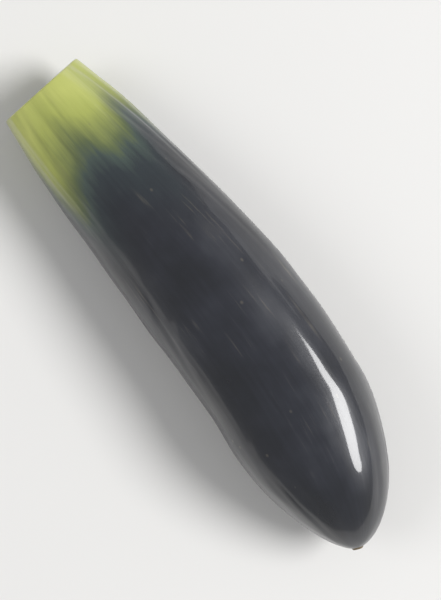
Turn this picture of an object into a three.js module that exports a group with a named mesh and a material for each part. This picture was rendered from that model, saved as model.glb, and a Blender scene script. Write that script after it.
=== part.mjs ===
// A Sendai long eggplant, picked young and pickled whole: one slim, slightly bent fruit, cut straight across
// just below its stalk and lying on its side. Millimetres, +Z up. The fruit runs along +X from its cut neck
// to its pointed tip, and the origin is on the floor, under the middle of its outline.
import * as THREE from "three";

// The fruit's length and thickness.
const LENGTH = 98; // along the middle line, from the cut to the tip
const NECK_RADIUS = 7.9; // at the cut
const BELLY_RADIUS = 13.3; // at its thickest
const BELLY_AT = 0.72; // the thickest place, as a share of the length
const NECK_TAPER = 2.4; // the power of the curve from the belly back to the neck
const TIP_ROUND = 1.7; // how long the belly keeps its width towards the tip
const TIP_POINT = 0.6; // 0.5 would be a round end, 1 a cone

// The section: the soft flesh sags a little wider than it is high, with fuller lower corners.
const WIDE = 1.02;
const HIGH = 0.93;
const SAG = 0.05;

// The bend, as the way the middle line points, seen from above.
const NECK_HEADING = THREE.MathUtils.degToRad(7);
const TIP_HEADING = THREE.MathUtils.degToRad(-20);
const BEND_POWER = 2.8; // 1 would spread the turn evenly, and more brings it nearer to the tip

// How it lies: the belly is pressed flat on the floor, and both ends stand clear of it.
const PRESS = 0.35; // how deep a round belly would reach into the floor
const NECK_LIFT = 2.2; // the height of the neck's underside
const NECK_LIFT_TO = 0.36; // as a share of the length
const TIP_DROP = 2.2; // how much lower the middle line is at the tip than at the belly

// The cut, the scar of the flower, and the soft lobes that the trimmed calyx leaves left round the neck.
const CUT_SLANT = 0.16; // how far the cut leans back for each millimetre of height
const CUT_SLANT_TO = 0.12; // the share of the length over which the rings turn upright again
const CUT_DISH = 0.45; // how deep the flesh has shrunk inside the skin's edge
const CUT_EDGE = 0.35; // the blunt edge between the skin and the cut
// The rings inside the edge: how far in each is drawn, and how deep it lies as a share of the dish.
const CUT_RINGS = [
  { inward: 0.45, sunk: 0.75 },
  { inward: 0.8, sunk: 1 },
  { inward: 0.93, sunk: 0.55 },
  { inward: 0.975, sunk: 0.04 },
];
const CUT_MIDDLE = 0.6; // how deep the middle lies, as a share of the dish
const SCAR_RADIUS = 1.15;
const SCAR_HEIGHT = 0.35;
// Its rings: how far in each is drawn, and how far it stands out as a share of the height.
const SCAR_RINGS = [
  { inward: 0.8, raised: 1 },
  { inward: 0.4, raised: 0.6 },
];
const SCAR_MIDDLE = 0.5; // how far the middle stands out, as a share of the height
const LOBES = 5;
const LOBE_START = 0.7; // the angle by which the lobes are turned
const LOBE_DEPTH = 0.36;
const LOBE_REACH = 17; // how far along the fruit they fade

// The body's long soft facets, which twist a little as they run, and its slow waves. Both fade towards the
// tip and underneath.
const FACETS = [
  { count: 3, twist: 0.035, start: 0, deep: 0.16 },
  { count: 4, twist: -0.05, start: 1, deep: 0.1 },
];
const WAVE_DEPTH = 0.14;
const WAVE_PACE = 6.1; // millimetres to a radian
const WAVE_SWAY = 1.3; // how far each wave swings along the fruit on its way round, in radians
const FADE_AT_TIP = 0.2; // over this share of the length
const FADE_BELOW = 0.8; // by this much

// Shallow hollows where the pickled flesh has given way: the place along the fruit and the angle round it,
// with the length, breadth and depth of each.
const HOLLOWS = [
  { at: 19, round: 1.25, long: 9, broad: 0.5, deep: 0.5 },
  { at: 37, round: 2.35, long: 13, broad: 0.42, deep: 0.5 },
  { at: 46, round: 0.62, long: 11, broad: 0.4, deep: 0.55 },
  { at: 67, round: 1.85, long: 15, broad: 0.38, deep: 0.42 },
  { at: 82, round: 0.35, long: 9, broad: 0.5, deep: 0.45 },
  { at: 60, round: -2.9, long: 16, broad: 0.4, deep: 0.4 },
  { at: 28, round: -0.35, long: 12, broad: 0.35, deep: 0.45 },
];

// The grid of faces.
const COLUMNS = 60;
const ROWS = 50;
const CROWDING = 0.45; // 0 would space the rings evenly, 1 would crowd them most at both ends
const BEND_STEPS = 240;
const DOWN = -Math.PI / 2;
const NARROWEST = 0.04; // the lowest face's half width as an angle, where it is off the floor
const HALVINGS = 40;
const ON_FLOOR = 1e-4; // anything lower than this is on the floor

// The middle line seen from above, summed in short steps. It starts straight and turns most at the tip.
function heading(share) {
  return NECK_HEADING + (TIP_HEADING - NECK_HEADING) * share ** BEND_POWER;
}

const line = [new THREE.Vector2(0, 0)];
for (let i = 0; i < BEND_STEPS; i++) {
  const way = heading((i + 0.5) / BEND_STEPS);
  const step = new THREE.Vector2(Math.cos(way), Math.sin(way)).multiplyScalar(LENGTH / BEND_STEPS);
  line.push(line[i].clone().add(step));
}

function onLine(share) {
  const place = share * BEND_STEPS;
  const i = Math.min(Math.floor(place), BEND_STEPS - 1);
  return line[i].clone().lerp(line[i + 1], place - i);
}

// The radius widens from the neck to the belly, then closes to a blunt point.
function radius(share) {
  if (share < BELLY_AT) {
    return BELLY_RADIUS + (NECK_RADIUS - BELLY_RADIUS) * (1 - share / BELLY_AT) ** NECK_TAPER;
  }
  const past = (share - BELLY_AT) / (1 - BELLY_AT);
  return BELLY_RADIUS * (1 - past ** TIP_ROUND) ** TIP_POINT;
}

// The share of the length at which the tip has closed to the scar.
const SCAR_AT =
  BELLY_AT + (1 - BELLY_AT) * (1 - (SCAR_RADIUS / BELLY_RADIUS) ** (1 / TIP_POINT)) ** (1 / TIP_ROUND);

// The middle line's height over the floor.
function height(share) {
  const neck = Math.max(1 - share / NECK_LIFT_TO, 0);
  const tip = Math.max((share - BELLY_AT) / (1 - BELLY_AT), 0);
  const half = radius(Math.min(share, BELLY_AT)) * HIGH;
  return half - PRESS + NECK_LIFT * neck ** 2 - TIP_DROP * tip ** 2;
}

// How far the skin stands out of the plain section, or in.
function relief(share, angle) {
  const along = share * LENGTH;
  const lobes = LOBE_DEPTH * Math.cos(LOBES * angle + LOBE_START) * Math.exp(-((along / LOBE_REACH) ** 2));
  let body = WAVE_DEPTH * Math.sin(along / WAVE_PACE + WAVE_SWAY * Math.sin(angle));
  for (const { count, twist, start, deep } of FACETS) {
    body += deep * Math.cos(count * angle + twist * along + start);
  }
  for (const { at, round, long, broad, deep } of HOLLOWS) {
    const turn = Math.atan2(Math.sin(angle - round), Math.cos(angle - round));
    body -= deep * Math.exp(-(((along - at) / long) ** 2) - (turn / broad) ** 2);
  }
  const fadesAtTip = THREE.MathUtils.smoothstep(1 - share, 0, FADE_AT_TIP);
  const fadesBelow = 1 - FADE_BELOW * Math.max(-Math.sin(angle), 0) ** 4;
  return lobes + body * fadesAtTip * fadesBelow;
}

// A point of the skin at a share of the length and an angle round it: 0 is the left side and a quarter turn
// is the top. inward draws the section in and forward moves it along the fruit, for the cut and the scar.
function skinPoint(share, angle, inward = 1, forward = 0) {
  const fuller = Math.sin(angle) < 0 ? SAG * Math.sin(2 * angle) ** 2 : 0;
  const out = (radius(share) * (1 + fuller) + relief(share, angle)) * inward;
  const side = out * Math.cos(angle) * WIDE;
  const up = out * Math.sin(angle) * HIGH;
  const ahead = forward + CUT_SLANT * up * Math.max(1 - share / CUT_SLANT_TO, 0) ** 2;
  const way = heading(share);
  const middle = onLine(share);
  return new THREE.Vector3(
    middle.x + Math.cos(way) * ahead - Math.sin(way) * side,
    middle.y + Math.sin(way) * ahead + Math.cos(way) * side,
    height(share) + up,
  );
}

// How far round from straight down the skin leaves the floor, on the left (1) or the right (-1), by halving.
function offFloor(share, hand) {
  let pressed = NARROWEST;
  let clear = 1;
  if (skinPoint(share, DOWN + hand * pressed).z >= 0) return pressed;
  for (let i = 0; i < HALVINGS; i++) {
    const between = (pressed + clear) / 2;
    if (skinPoint(share, DOWN + hand * between).z < 0) pressed = between;
    else clear = between;
  }
  return clear;
}

// A ring of points. Its lowest face spans the patch on the floor, and the rest are spread evenly round.
function ringPoints({ share, inward, forward }) {
  const first = DOWN + offFloor(share, 1);
  const last = DOWN - offFloor(share, -1) + 2 * Math.PI;
  const points = [];
  for (let column = 0; column < COLUMNS; column++) {
    const angle = THREE.MathUtils.lerp(first, last, column / (COLUMNS - 1));
    const point = skinPoint(share, angle, inward, forward);
    if (point.z < ON_FLOOR) point.z = 0;
    points.push(point);
  }
  return points;
}

// The rings, from the middle of the cut over its edge, along the skin and into the scar.
const rings = CUT_RINGS.map(({ inward, sunk }) => ({ share: 0, inward, forward: CUT_DISH * sunk }));
for (let row = 0; row <= ROWS; row++) {
  const even = row / ROWS;
  const crowded = (1 - Math.cos(Math.PI * even)) / 2;
  const share = SCAR_AT * THREE.MathUtils.lerp(even, crowded, CROWDING);
  rings.push({ share, inward: 1, forward: row === 0 ? CUT_EDGE : 0 });
}
for (const { inward, raised } of SCAR_RINGS) {
  rings.push({ share: SCAR_AT, inward, forward: SCAR_HEIGHT * raised });
}

function eggplantGeometry() {
  const points = rings.flatMap(ringPoints);
  const cutMiddle = points.push(skinPoint(0, 0, 0, CUT_DISH * CUT_MIDDLE)) - 1;
  const scarMiddle = points.push(skinPoint(SCAR_AT, 0, 0, SCAR_HEIGHT * SCAR_MIDDLE)) - 1;
  const lastRing = (rings.length - 1) * COLUMNS;
  const faces = [];
  for (let column = 0; column < COLUMNS; column++) {
    const next = (column + 1) % COLUMNS;
    for (let ring = 0; ring < lastRing; ring += COLUMNS) {
      faces.push(ring + column, ring + next, ring + COLUMNS + column);
      faces.push(ring + next, ring + COLUMNS + next, ring + COLUMNS + column);
    }
    faces.push(cutMiddle, next, column);
    faces.push(scarMiddle, lastRing + column, lastRing + next);
  }
  const geometry = new THREE.BufferGeometry().setFromPoints(points);
  geometry.setIndex(faces);
  geometry.computeBoundingBox();
  const centre = geometry.boundingBox.getCenter(new THREE.Vector3());
  geometry.translate(-centre.x, -centre.y, 0);
  geometry.computeVertexNormals();
  return geometry;
}

const skin = new THREE.MeshStandardMaterial({ color: 0x24242e, roughness: 0.28, metalness: 0 });
const eggplant = new THREE.Mesh(eggplantGeometry(), skin);
eggplant.name = "eggplant";

const part = new THREE.Group();
part.add(eggplant);

export default part;
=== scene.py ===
"""One pickled Sendai long eggplant on a pale floor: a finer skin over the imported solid, and the studio."""

import bpy
import numpy as np
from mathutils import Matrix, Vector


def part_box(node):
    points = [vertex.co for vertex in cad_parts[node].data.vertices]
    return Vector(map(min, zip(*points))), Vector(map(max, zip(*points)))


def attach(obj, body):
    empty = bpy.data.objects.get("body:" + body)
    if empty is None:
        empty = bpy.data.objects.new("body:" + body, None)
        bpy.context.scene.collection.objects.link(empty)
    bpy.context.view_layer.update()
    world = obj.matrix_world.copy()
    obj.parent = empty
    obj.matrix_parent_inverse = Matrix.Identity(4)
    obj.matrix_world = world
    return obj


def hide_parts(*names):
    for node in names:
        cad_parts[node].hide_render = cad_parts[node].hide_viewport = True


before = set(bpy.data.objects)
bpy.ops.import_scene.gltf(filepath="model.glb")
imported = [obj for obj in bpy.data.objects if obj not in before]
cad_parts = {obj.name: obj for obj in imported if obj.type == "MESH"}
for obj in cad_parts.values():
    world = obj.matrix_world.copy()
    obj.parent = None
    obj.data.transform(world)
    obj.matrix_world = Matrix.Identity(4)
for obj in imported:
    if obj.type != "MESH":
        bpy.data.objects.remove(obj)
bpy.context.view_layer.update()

# The fruit. One young long eggplant, its stalk end cut off straight, softened and darkened by the brine. It
# is one grown piece, so it is one closed mesh: a tapering tube round a bent middle line, with the cut at one
# end and the flower's scar at the other. Sizes are in millimetres, and become metres in the mesh.
MILLIMETRE = 0.001
LENGTH = 98.0  # along the middle line, from the cut to the tip
NECK_RADIUS = 7.9
BELLY_RADIUS = 13.3
BELLY_AT = 0.72  # the thickest place, as a share of the length
NECK_TAPER = 2.4  # the power of the curve from the belly back to the neck
TIP_ROUND = 1.7  # how long the belly keeps its width towards the tip
TIP_POINT = 0.6  # 0.5 would be a round end, 1 a cone
WIDE = 1.02  # the section is a little wider than it is high
HIGH = 0.93
SAG = 0.05  # how much fuller its lower corners are
NECK_HEADING = np.radians(7.0)  # the way the middle line points, seen from above
TIP_HEADING = np.radians(-20.0)
BEND_POWER = 2.8  # 1 would spread the turn evenly, and more brings it nearer to the tip
PRESS = 0.35  # how deep a round belly would reach into the floor
NECK_LIFT = 2.2  # the height of the neck's underside
NECK_LIFT_TO = 0.36  # as a share of the length
TIP_DROP = 2.2  # how much lower the middle line is at the tip than at the belly
CUT_SLANT = 0.16  # how far the cut leans back for each millimetre of height
CUT_SLANT_TO = 0.12  # the share of the length over which the rings turn upright again
CUT_DISH = 0.45  # how deep the flesh has shrunk inside the skin's edge
CUT_DEEPEST = 0.85  # how far out it is deepest, as a share of the way to the edge
CUT_MIDDLE = 0.55  # how deep its middle is, as a share of the dish
CUT_RISE = 16  # the power of the curve up to the edge
CUT_EDGE = 0.35  # the radius of the edge between the skin and the cut
SCAR_RADIUS = 1.15
SCAR_HEIGHT = 0.35
SCAR_MIDDLE = 0.5  # how far its middle stands out, as a share of the height
SCAR_RISES = (0.0, 0.25)  # between these shares of the way in, and sinks between the next two
SCAR_SINKS = (0.2, 0.9)
LOBES = 5  # left round the neck by the leaves of the trimmed calyx
LOBE_START = 0.7
LOBE_DEPTH = 0.36
LOBE_REACH = 17.0
FACETS = (  # count round the fruit, radians of twist in a millimetre, start, depth
    (3, 0.035, 0.0, 0.16),
    (4, -0.05, 1.0, 0.10),
)
WAVE_DEPTH = 0.14
WAVE_PACE = 6.1  # millimetres to a radian
WAVE_SWAY = 1.3  # how far each wave swings along the fruit on its way round, in radians
FADE_AT_TIP = 0.2  # over this share of the length
FADE_BELOW = 0.8  # by this much
HOLLOWS = (  # place along the fruit, angle round it, length, breadth, depth
    (19, 1.25, 9, 0.50, 0.50),
    (37, 2.35, 13, 0.42, 0.50),
    (46, 0.62, 11, 0.40, 0.55),
    (67, 1.85, 15, 0.38, 0.42),
    (82, 0.35, 9, 0.50, 0.45),
    (60, -2.9, 16, 0.40, 0.40),
    (28, -0.35, 12, 0.35, 0.45),
)
WRINKLES = (  # count, the first and last place along the fruit, length, depth
    (46, -4, 20, 8, 0.10),
    (40, 12, 88, 15, 0.055),
    (34, 82, 97, 5, 0.07),
)
WRINKLE_LENGTHS = (0.5, 1.6)  # least and most, times the length in the table
WRINKLE_DEPTHS = (0.3, 1.2)  # and times the depth in the table
WRINKLE_WIDTHS = (0.35, 0.9)
WRINKLE_SWAY = 0.012  # radians to a millimetre, at most, either way
LIP_HEIGHT = 0.4  # as a share of the groove's depth
LIP_AT = 2  # as widths of the groove from its middle
DENT_DEPTH = 0.055
DENT_WAVES = 26
DENT_ROUNDS = (2, 10)  # each wave's count round the fruit, least and one past the most
DENT_PACE = 0.55  # radians to a millimetre, at most, either way
DENT_FINER = 0.25  # how much shallower each further round makes a wave
DENT_LIMIT = 1.6  # the sum of the waves at which they are cut off
DENT_FADES = (0.01, 0.15)  # between these shares of the length from the tip
BEND_STEPS = 2000
DOWN = -np.pi / 2
HALVINGS = 40
NARROWEST = 0.04  # the lowest face's half width as an angle, where it is off the floor
COLUMNS = 256
SKIN_ROWS = 330
CUT_ROWS = 40
EDGE_ROWS = 6
SCAR_ROWS = 10
INNERMOST = 0.03  # the scale of the innermost ring of the cut
SCAR_IN = 0.96  # how far in the innermost ring of the scar is drawn
PROFILE_STEPS = 6001


def heading(share):
    """The way the middle line points: the turn from neck to tip, times a power of the share."""
    return NECK_HEADING + (TIP_HEADING - NECK_HEADING) * share**BEND_POWER


def middle_line(share):
    """Where the middle line is, seen from above: its heading's cosine and sine, summed in short steps."""
    steps = np.linspace(0, 1, BEND_STEPS + 1)
    halfway = (steps[1:] + steps[:-1]) / 2
    pieces = np.stack([np.cos(heading(halfway)), np.sin(heading(halfway))]) * LENGTH / BEND_STEPS
    x, y = np.concatenate([np.zeros((2, 1)), np.cumsum(pieces, axis=1)], axis=1)
    return np.interp(share, steps, x), np.interp(share, steps, y)


def radius(share):
    """Neck to belly: one minus a power of what is left. Belly to tip: a power of one minus a power."""
    left = np.clip(1 - share / BELLY_AT, 0, 1)
    widens = BELLY_RADIUS + (NECK_RADIUS - BELLY_RADIUS) * left**NECK_TAPER
    past = np.clip((share - BELLY_AT) / (1 - BELLY_AT), 0, 1)
    return np.where(share < BELLY_AT, widens, BELLY_RADIUS * (1 - past**TIP_ROUND) ** TIP_POINT)


def height(share):
    """The middle line's height: the half height less the press, raised at the neck and lowered at the tip."""
    neck = np.clip(1 - share / NECK_LIFT_TO, 0, 1)
    tip = np.clip((share - BELLY_AT) / (1 - BELLY_AT), 0, 1)
    return radius(np.minimum(share, BELLY_AT)) * HIGH - PRESS + NECK_LIFT * neck**2 - TIP_DROP * tip**2


def smooth_step(x, low, high):
    """Three x squared less two x cubed, between low and high."""
    t = np.clip((x - low) / (high - low), 0, 1)
    return t * t * (3 - 2 * t)


def turn_from(angle, place):
    """The angle from a place to here, the short way round."""
    return np.arctan2(np.sin(angle - place), np.cos(angle - place))


def relief(share, angle):
    """The solid's own forms: cosine lobes that fade from the neck, long facets, waves, and bell hollows."""
    along = share * LENGTH
    lobes = LOBE_DEPTH * np.cos(LOBES * angle + LOBE_START) * np.exp(-((along / LOBE_REACH) ** 2))
    body = WAVE_DEPTH * np.sin(along / WAVE_PACE + WAVE_SWAY * np.sin(angle))
    for count, twist, start, deep in FACETS:
        body = body + deep * np.cos(count * angle + twist * along + start)
    for at, place, long, broad, deep in HOLLOWS:
        body = body - deep * np.exp(-(((along - at) / long) ** 2) - (turn_from(angle, place) / broad) ** 2)
    fades_at_tip = smooth_step(1 - share, 0, FADE_AT_TIP)
    fades_below = 1 - FADE_BELOW * np.maximum(-np.sin(angle), 0) ** 4
    return lobes + body * fades_at_tip * fades_below


def skin_points(share, angle, inward=1.0, finer=0.0):
    """Points at a share of the length and an angle round: the section's cosine and sine, scaled, turned to
    the heading and carried by the middle line. The neck's rings lean back to meet the slanted cut."""
    fuller = np.where(np.sin(angle) < 0, SAG * np.sin(2 * angle) ** 2, 0)
    out = (radius(share) * (1 + fuller) + relief(share, angle) + finer) * inward
    side = out * np.cos(angle) * WIDE
    up = out * np.sin(angle) * HIGH
    ahead = CUT_SLANT * up * np.clip(1 - share / CUT_SLANT_TO, 0, 1) ** 2
    way = heading(share)
    x, y = middle_line(share)
    return np.stack([
        x + np.cos(way) * ahead - np.sin(way) * side,
        y + np.sin(way) * ahead + np.cos(way) * side,
        height(share) + up,
    ], axis=-1)


def off_floor(share, hand):
    """The angle from straight down at which each ring leaves the floor, on the left or right, by halving."""
    pressed = np.full_like(share, NARROWEST)
    clear = np.ones_like(share)
    touches = skin_points(share, DOWN + hand * pressed)[..., 2] < 0
    for _ in range(HALVINGS):
        between = (pressed + clear) / 2
        below = skin_points(share, DOWN + hand * between)[..., 2] < 0
        pressed = np.where(below, between, pressed)
        clear = np.where(below, clear, between)
    return np.where(touches, clear, NARROWEST)


def wrinkles(along, angle, girth):
    """Lengthwise grooves: a bell across each with a low lip on both sides, and a bell along it."""
    draw = np.random.default_rng(11)
    total = np.zeros(np.broadcast(along, angle).shape)
    for count, first, last, long, deep in WRINKLES:
        for _ in range(count):
            at = draw.uniform(first, last)
            place = draw.uniform(-np.pi, np.pi)
            reach = long * draw.uniform(*WRINKLE_LENGTHS)
            width = draw.uniform(*WRINKLE_WIDTHS)
            sway = draw.uniform(-WRINKLE_SWAY, WRINKLE_SWAY)
            depth = deep * draw.uniform(*WRINKLE_DEPTHS)
            across = turn_from(angle, place + sway * (along - at)) * girth / width
            lips = LIP_HEIGHT * np.exp(-((np.abs(across) - LIP_AT) ** 2))
            total += depth * np.exp(-(((along - at) / reach) ** 2)) * (lips - np.exp(-(across**2)))
    return total


def dents(along, angle):
    """Soft uneven dents a few millimetres wide: a seeded sum of crossing waves, cut off softly."""
    draw = np.random.default_rng(5)
    total = np.zeros(np.broadcast(along, angle).shape)
    for _ in range(DENT_WAVES):
        rounds = draw.integers(*DENT_ROUNDS)
        pace = draw.uniform(-DENT_PACE, DENT_PACE)
        start = draw.uniform(0, 2 * np.pi)
        total += np.cos(rounds * angle + pace * along + start) / (1 + DENT_FINER * rounds)
    return DENT_DEPTH * np.tanh(total / DENT_LIMIT)


def fruit_rings():
    """Each ring's share of the length, its scale and its push along. The cut is dished by a squared sine, its
    edge is a quarter circle, the skin's rings are even along its profile, and smooth steps make the scar."""
    cut_inward = np.linspace(INNERMOST, 1 - CUT_EDGE / NECK_RADIUS, CUT_ROWS)
    rim = cut_inward / cut_inward[-1]
    deeper = np.sin(np.pi / 2 * np.clip(rim / CUT_DEEPEST, 0, 1)) ** 2
    dish = CUT_DISH * (CUT_MIDDLE + (1 - CUT_MIDDLE) * deeper) * (1 - rim**CUT_RISE)
    quarter = np.linspace(0, np.pi / 2, EDGE_ROWS + 2)[1:-1]
    edge_inward = 1 - CUT_EDGE / NECK_RADIUS * (1 - np.sin(quarter))
    edge_share = CUT_EDGE / LENGTH * (1 - np.cos(quarter))
    closed = (SCAR_RADIUS / BELLY_RADIUS) ** (1 / TIP_POINT)
    scar_at = BELLY_AT + (1 - BELLY_AT) * (1 - closed) ** (1 / TIP_ROUND)
    fine = np.linspace(CUT_EDGE / LENGTH, scar_at, PROFILE_STEPS)
    arc = np.concatenate([[0], np.cumsum(np.hypot(np.diff(fine) * LENGTH, np.diff(radius(fine))))])
    skin_share = np.interp(np.linspace(0, arc[-1], SKIN_ROWS), arc, fine)
    button = np.linspace(0, SCAR_IN, SCAR_ROWS + 1)[1:]
    raised = smooth_step(button, *SCAR_RISES) - (1 - SCAR_MIDDLE) * smooth_step(button, *SCAR_SINKS)
    share = np.concatenate([np.zeros(CUT_ROWS), edge_share, skin_share, np.full(SCAR_ROWS, scar_at)])
    inward = np.concatenate([cut_inward, edge_inward, np.ones(SKIN_ROWS), 1 - button])
    push = np.concatenate([dish, np.zeros(EDGE_ROWS + SKIN_ROWS), SCAR_HEIGHT * raised])
    return share, inward, push


share, inward, push = (column[:, None] for column in fruit_rings())
first = DOWN + off_floor(share, 1)
last = DOWN - off_floor(share, -1) + 2 * np.pi
angle = first + (last - first) * np.linspace(0, 1, COLUMNS)
along = share * LENGTH
finer = wrinkles(along, angle, radius(share)) + dents(along, angle) * smooth_step(1 - share, *DENT_FADES)
points = skin_points(share, angle, inward, finer)
points[..., 0] += push * np.cos(heading(share))
points[..., 1] += push * np.sin(heading(share))
points[..., 2] = np.maximum(points[..., 2], 0)


def with_middles(grid):
    """The grid's values in one list, then the mean of its first ring and the mean of its last."""
    return np.concatenate([grid.reshape(-1, *grid.shape[2:]), grid[[0, -1]].mean(axis=1)])


every_point = with_middles(points) * MILLIMETRE
low, high = (np.array(corner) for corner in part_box("eggplant"))
every_point[:, :2] += (low + high)[:2] / 2 - (every_point.min(axis=0) + every_point.max(axis=0))[:2] / 2

number = np.arange(len(share) * COLUMNS).reshape(-1, COLUMNS)
beside = np.roll(number, -1, axis=1)
sides = np.stack([number[:-1], beside[:-1], beside[1:], number[1:]], axis=-1).reshape(-1, 4)
cut_fan = np.stack([np.full(COLUMNS, number.size), beside[0], number[0]], axis=-1)
scar_fan = np.stack([np.full(COLUMNS, number.size + 1), number[-1], beside[-1]], axis=-1)
surface = np.zeros(len(sides) + 2 * COLUMNS, dtype=np.int32)  # 0 is skin, 1 is the cut and 2 is the scar
surface[: CUT_ROWS * COLUMNS] = 1
surface[len(sides) : len(sides) + COLUMNS] = 1
surface[len(sides) - SCAR_ROWS * COLUMNS : len(sides)] = 2
surface[len(sides) + COLUMNS :] = 2

fruit_mesh = bpy.data.meshes.new("pickled_fruit")
fruit_mesh.from_pydata(every_point, [], [*sides.tolist(), *cut_fan.tolist(), *scar_fan.tolist()])
fruit_mesh.polygons.foreach_set("material_index", surface)
fruit_mesh.shade_smooth()
fruit = bpy.data.objects.new("pickled_fruit", fruit_mesh)
bpy.context.collection.objects.link(fruit)
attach(fruit, "root")
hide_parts("eggplant")


def keep_on_fruit(name, grid):
    """Store a number, or a row of three, with every point of the fruit, for its materials to read."""
    values = with_middles(grid)
    kind, field = ("FLOAT_VECTOR", "vector") if values.ndim == 2 else ("FLOAT", "value")
    fruit_mesh.attributes.new(name, kind, "POINT").data.foreach_set(field, values.ravel())


# The patterns follow the fruit as if it were a straight rod as thick as its neck, in millimetres.
keep_on_fruit("place", np.stack(np.broadcast_arrays(
    along,
    NECK_RADIUS * inward * np.cos(angle),
    NECK_RADIUS * inward * np.sin(angle),
), axis=-1))

# Brined eggplant skin. It is thin, tight and wet: indigo-black where the sun reached it, and yellow-green
# where the calyx covered it, longer under each of its five leaves than between them. Fine fibres run
# lengthwise through the colour, so the edge between the two is feathered.


def srgb(code, alpha=1.0):
    """A hex colour made linear: under 0.04 a plain division, above it a power of 2.4."""
    values = np.array([int(code[i : i + 2], 16) for i in (1, 3, 5)]) / 255
    linear = np.where(values <= 0.04045, values / 12.92, ((values + 0.055) / 1.055) ** 2.4)
    return (*linear.tolist(), alpha)


def add_node(material, kind, links=None, stops=None, **settings):
    """Add one node. links gives an input, by name or number, its value or the output that feeds it."""
    node = material.node_tree.nodes.new(kind)
    for name, value in settings.items():
        setattr(node, name, value)
    for key, value in (links or {}).items():
        if isinstance(value, bpy.types.NodeSocket):
            material.node_tree.links.new(value, node.inputs[key])
        else:
            node.inputs[key].default_value = value
    if stops:
        elements = node.color_ramp.elements
        while len(elements) < len(stops):
            elements.new(1.0)
        for element, (position, code) in zip(elements, stops):
            element.position = position
            element.color = srgb(code)
    return node


PALE_LENGTH = 16.0  # on average, from the cut
LEAF_REACH = 7.5  # how much longer it is under the middle of a leaf than between two
LEAF_POINT = 1.6  # 1 would round each leaf's end, and more draws it to a point
UNEVEN = (  # reach, count round the fruit, start
    (1.6, 1, -2.1),
    (0.9, 2, 0.4),
    (0.7, 7, 1.0),
)
FEATHERED = 24.0  # the colours change over this far on both sides of the edge
leaf = np.abs(np.cos((LOBES * angle + LOBE_START) / 2)) ** LEAF_POINT
uneven = sum(reach * np.cos(count * angle + start) for reach, count, start in UNEVEN)
keep_on_fruit("shaded", PALE_LENGTH + LEAF_REACH * (leaf - 0.5) + uneven - along)

skin = bpy.data.materials.new("brined_skin")
skin.use_nodes = True
skin.node_tree.nodes.clear()
place = add_node(skin, "ShaderNodeAttribute", attribute_name="place").outputs["Vector"]
# Each noise is as wide as its size in millimetres, and drawn out along the fruit by one over its run.
noises = {}
for name, size, run, detail in (
    ("fibre", 0.5, 0.045, 4.0),
    ("band", 2.4, 0.11, 3.0),
    ("cloud", 9.0, 0.55, 3.0),
    ("grain", 0.8, 0.7, 2.0),
):
    drawn = add_node(skin, "ShaderNodeVectorMath", {0: place, 1: (run, 1, 1)}, operation="MULTIPLY")
    noise = add_node(skin, "ShaderNodeTexNoise", {
        "Vector": drawn.outputs[0], "Scale": 1 / size, "Detail": detail, "Roughness": 0.58,
    })
    noises[name] = noise.outputs[0]
# The noises move the edge to and fro by these many millimetres.
stirred = (("fibre", 5.0), ("band", 7.0), ("cloud", 9.0))
edge = add_node(skin, "ShaderNodeAttribute", attribute_name="shaded").outputs["Fac"]
for name, reach in stirred:
    moved = add_node(skin, "ShaderNodeMath", {0: noises[name], 1: reach, 2: edge}, operation="MULTIPLY_ADD")
    edge = moved.outputs[0]
unstirred = sum(reach for _, reach in stirred) / 2
zone = add_node(skin, "ShaderNodeMapRange", {0: edge, 1: unstirred - FEATHERED, 2: unstirred + FEATHERED})
pale_skin = add_node(skin, "ShaderNodeValToRGB", {0: zone.outputs[0]}, stops=(
    (0.12, "#17181e"),
    (0.27, "#1c2127"),
    (0.39, "#262d31"),
    (0.47, "#3a4641"),
    (0.54, "#545e3c"),
    (0.61, "#757d45"),
    (0.70, "#979e51"),
    (0.83, "#acb161"),
))
tone = 0.0
for name, weight in (("cloud", 0.95), ("band", 0.35), ("fibre", 0.2)):
    added = add_node(skin, "ShaderNodeMath", {0: noises[name], 1: weight, 2: tone}, operation="MULTIPLY_ADD")
    tone = added.outputs[0]
dark_skin = add_node(skin, "ShaderNodeValToRGB", {0: tone}, stops=(
    (0.50, "#111318"),
    (0.68, "#171920"),
    (0.80, "#1e2028"),
    (0.92, "#282a31"),
    (1.00, "#333337"),
))
# Past the pale ramp's dark end, the plain dark skin takes over.
covered = add_node(skin, "ShaderNodeMapRange", {0: zone.outputs[0], 1: 0.10, 2: 0.36})
skin_colour = add_node(skin, "ShaderNodeMix", {
    0: covered.outputs[0], 6: dark_skin.outputs[0], 7: pale_skin.outputs[0],
}, data_type="RGBA")
# Marks of growing: corky dots a third of a millimetre across, and hair-thin scuffs that lie in patches.
DOT_SPACING = 2.2
DOTS_DROPPED = 0.58  # a dot is left out where its own random shade is darker than this
dot_cells = add_node(skin, "ShaderNodeVectorMath", {0: place, 1: (0.5, 1, 1)}, operation="MULTIPLY")
dots = add_node(skin, "ShaderNodeTexVoronoi", {"Vector": dot_cells.outputs[0], "Scale": 1 / DOT_SPACING})
dot = add_node(skin, "ShaderNodeMapRange", {0: dots.outputs["Distance"], 1: 0.04, 2: 0.10, 3: 0.3, 4: 0.0})
kept = add_node(skin, "ShaderNodeMath", {
    0: dots.outputs["Color"], 1: DOTS_DROPPED,
}, operation="GREATER_THAN")
kept_dot = add_node(skin, "ShaderNodeMath", {0: dot.outputs[0], 1: kept.outputs[0]}, operation="MULTIPLY")
hair = add_node(skin, "ShaderNodeMapRange", {0: noises["fibre"], 1: 0.60, 2: 0.72, 3: 0.0, 4: 0.35})
patch = add_node(skin, "ShaderNodeMapRange", {0: noises["cloud"], 1: 0.50, 2: 0.64})
scuff = add_node(skin, "ShaderNodeMath", {0: hair.outputs[0], 1: patch.outputs[0]}, operation="MULTIPLY")
mark = add_node(skin, "ShaderNodeMath", {0: kept_dot.outputs[0], 1: scuff.outputs[0]}, operation="MAXIMUM")
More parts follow.
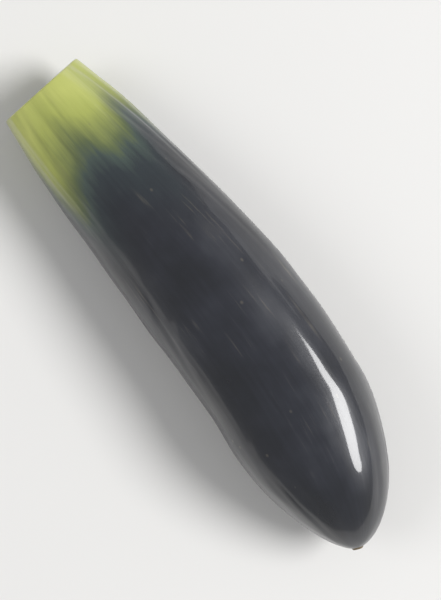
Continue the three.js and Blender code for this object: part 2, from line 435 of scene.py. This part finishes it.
marked_colour = add_node(skin, "ShaderNodeMix", {
    0: mark.outputs[0], 6: skin_colour.outputs[2], 7: srgb("#6b6457"),
}, data_type="RGBA")
skin_roughness = add_node(skin, "ShaderNodeMapRange", {0: noises["cloud"], 1: 0.3, 2: 0.7, 3: 0.26, 4: 0.4})
rise = 0.0
for name, weight in (("fibre", 0.4), ("grain", 0.15)):
    added = add_node(skin, "ShaderNodeMath", {0: noises[name], 1: weight, 2: rise}, operation="MULTIPLY_ADD")
    rise = added.outputs[0]
skin_bump = add_node(skin, "ShaderNodeBump", {"Strength": 1.0, "Distance": 0.00005, "Height": rise})
# The wet cuticle shines as a clear coat does. Its index is above wax's 1.45, to match the fruit's gloss.
skin_surface = add_node(skin, "ShaderNodeBsdfPrincipled", {
    "Base Color": marked_colour.outputs[2],
    "Roughness": skin_roughness.outputs[0],
    "IOR": 1.40,
    "Normal": skin_bump.outputs[0],
    "Coat Weight": 0.62,
    "Coat Roughness": 0.06,
    "Coat IOR": 1.6,
})
add_node(skin, "ShaderNodeOutputMaterial", {0: skin_surface.outputs[0]})
fruit_mesh.materials.append(skin)

# Brined flesh at the cut. It is pale green, spongy and matt, with a thin green line of skin round the edge.
# The fruit's veins are cut across: faint short dashes strewn along a ring, each a bell drawn out round it.
VEIN_RING = 5.2  # its radius
VEIN_SCATTER = 0.45
VEIN_COUNT = 30
VEIN_WIDTHS = (0.14, 0.32)
VEIN_DRAWN_OUT = (1.0, 2.6)  # round the ring, times the width
VEIN_STRENGTHS = (0.15, 0.6)
SPONGE_GRAIN = 0.6
vein_draw = np.random.default_rng(3)
veins = np.zeros(angle.shape)
for vein_angle in vein_draw.uniform(-np.pi, np.pi, VEIN_COUNT):
    off = NECK_RADIUS * inward - VEIN_RING - vein_draw.normal(0, VEIN_SCATTER)
    turned = turn_from(angle, vein_angle) * VEIN_RING
    width = vein_draw.uniform(*VEIN_WIDTHS)
    long = width * vein_draw.uniform(*VEIN_DRAWN_OUT)
    strength = vein_draw.uniform(*VEIN_STRENGTHS)
    veins += strength * np.exp(-((off / width) ** 2) - (turned / long) ** 2)
keep_on_fruit("veins", np.minimum(veins, 1))

flesh = bpy.data.materials.new("cut_flesh")
flesh.use_nodes = True
flesh.node_tree.nodes.clear()
place = add_node(flesh, "ShaderNodeAttribute", attribute_name="place").outputs["Vector"]
vein = add_node(flesh, "ShaderNodeAttribute", attribute_name="veins").outputs["Fac"]
from_middle = add_node(flesh, "ShaderNodeVectorMath", {0: place}, operation="LENGTH").outputs["Value"]
sponge = add_node(flesh, "ShaderNodeTexNoise", {
    "Vector": place, "Scale": 1 / SPONGE_GRAIN, "Detail": 4.0, "Roughness": 0.65,
})
# Its colour changes from the middle out, over the millimetres in ring, and the sponge stirs where it does.
wander = add_node(flesh, "ShaderNodeMath", {0: sponge.outputs[0], 1: 2.2, 2: from_middle},
                  operation="MULTIPLY_ADD")
ring = add_node(flesh, "ShaderNodeMapRange", {0: wander.outputs[0], 1: 0.6, 2: 9.4})
flesh_rings = add_node(flesh, "ShaderNodeValToRGB", {0: ring.outputs[0]}, stops=(
    (0.00, "#d8d5ab"),
    (0.30, "#d0d09a"),
    (0.52, "#bfc380"),
    (0.64, "#adb467"),
    (0.80, "#b3b968"),
    (0.93, "#97a148"),
    (1.00, "#78842f"),
))
veined = add_node(flesh, "ShaderNodeMix", {
    0: vein, 6: flesh_rings.outputs[0], 7: srgb("#737a3a"),
}, data_type="RGBA")
flesh_bump = add_node(flesh, "ShaderNodeBump", {
    "Strength": 1.0, "Distance": 0.00025, "Height": sponge.outputs[0],
})
flesh_surface = add_node(flesh, "ShaderNodeBsdfPrincipled", {
    "Base Color": veined.outputs[2],
    "Roughness": 0.5,
    "IOR": 1.38,
    "Normal": flesh_bump.outputs[0],
    "Subsurface Weight": 0.15,
    "Subsurface Radius": (0.6, 0.8, 0.3),
    "Subsurface Scale": 0.002,
})
add_node(flesh, "ShaderNodeOutputMaterial", {0: flesh_surface.outputs[0]})
fruit_mesh.materials.append(flesh)

# The flower's scar, at the very tip, where the flower dropped off. It healed over as a low button of dry
# cork, so it is tan, rough and without shine.
CORK_GRAIN = 0.8
scar = bpy.data.materials.new("dry_scar")
scar.use_nodes = True
scar.node_tree.nodes.clear()
place = add_node(scar, "ShaderNodeAttribute", attribute_name="place").outputs["Vector"]
cork = add_node(scar, "ShaderNodeTexNoise", {
    "Vector": place, "Scale": 1 / CORK_GRAIN, "Detail": 4.0, "Roughness": 0.7,
})
cork_colour = add_node(scar, "ShaderNodeValToRGB", {0: cork.outputs[0]}, stops=(
    (0.30, "#3b3024"),
    (0.55, "#6a5a3e"),
    (0.75, "#8d7c58"),
))
scar_bump = add_node(scar, "ShaderNodeBump", {
    "Strength": 1.0, "Distance": 0.0001, "Height": cork.outputs[0],
})
scar_surface = add_node(scar, "ShaderNodeBsdfPrincipled", {
    "Base Color": cork_colour.outputs[0],
    "Roughness": 0.75,
    "Normal": scar_bump.outputs[0],
})
add_node(scar, "ShaderNodeOutputMaterial", {0: scar_surface.outputs[0]})
fruit_mesh.materials.append(scar)

# The studio: a plain pale floor just under the fruit, a pale room, one broad soft light past the fruit's tip
# on its left side, and a weaker one across from it. The skin mirrors neither of them, but only a long oval
# strip, low beside the first, which draws one narrow highlight along the fruit's shoulder.
FLOOR_REACH = 3.0
FLOOR_HEIGHT = -1e-4
corner_signs = ((-1, -1), (1, -1), (1, 1), (-1, 1))
floor_corners = [(x * FLOOR_REACH, y * FLOOR_REACH, FLOOR_HEIGHT) for x, y in corner_signs]
floor_mesh = bpy.data.meshes.new("floor")
floor_mesh.from_pydata(floor_corners, [], [(0, 1, 2, 3)])
floor = bpy.data.objects.new("floor", floor_mesh)
bpy.context.collection.objects.link(floor)
paper = bpy.data.materials.new("pale_paper")
paper.use_nodes = True
paper.node_tree.nodes["Principled BSDF"].inputs["Base Color"].default_value = srgb("#d4d3d1")
paper.node_tree.nodes["Principled BSDF"].inputs["Roughness"].default_value = 0.9
floor_mesh.materials.append(paper)

world = bpy.data.worlds.new("studio")
world.use_nodes = True
world.node_tree.nodes["Background"].inputs["Color"].default_value = srgb("#f4f5f7")
world.node_tree.nodes["Background"].inputs["Strength"].default_value = 0.45
bpy.context.scene.world = world
bpy.context.scene.view_settings.view_transform = "Standard"

for name, place, size, power, mirrored in (
    ("key", (0.42, 0.68, 0.86), (0.62, 0.44), 15.0, False),
    ("fill", (-0.60, -0.80, 1.00), (0.80, 0.80), 4.5, False),
    ("strip", (0.55, 0.80, 0.62), (1.30, 0.38), 19.0, True),
):
    light = bpy.data.lights.new(name, "AREA")
    light.shape = "ELLIPSE"
    light.size, light.size_y = size
    light.energy = power
    lamp = bpy.data.objects.new(name, light)
    lamp.location = place
    lamp.visible_glossy = mirrored
    lamp.visible_diffuse = not mirrored
    lamp.rotation_euler = (-lamp.location).to_track_quat("-Z", "Y").to_euler()
    bpy.context.collection.objects.link(lamp)

# The camera looks straight down, turned so that the neck is at the upper left.
CAMERA_TURN = np.radians(55.0)
CAMERA_HEIGHT = 0.30
camera_data = bpy.data.cameras.new("camera")
camera_data.lens = 100.0
camera_data.sensor_width = 36.0
camera = bpy.data.objects.new("camera", camera_data)
camera.location = (0.0, 0.0, CAMERA_HEIGHT)
camera.rotation_euler = (0.0, 0.0, CAMERA_TURN)
bpy.context.collection.objects.link(camera)
bpy.context.scene.camera = camera
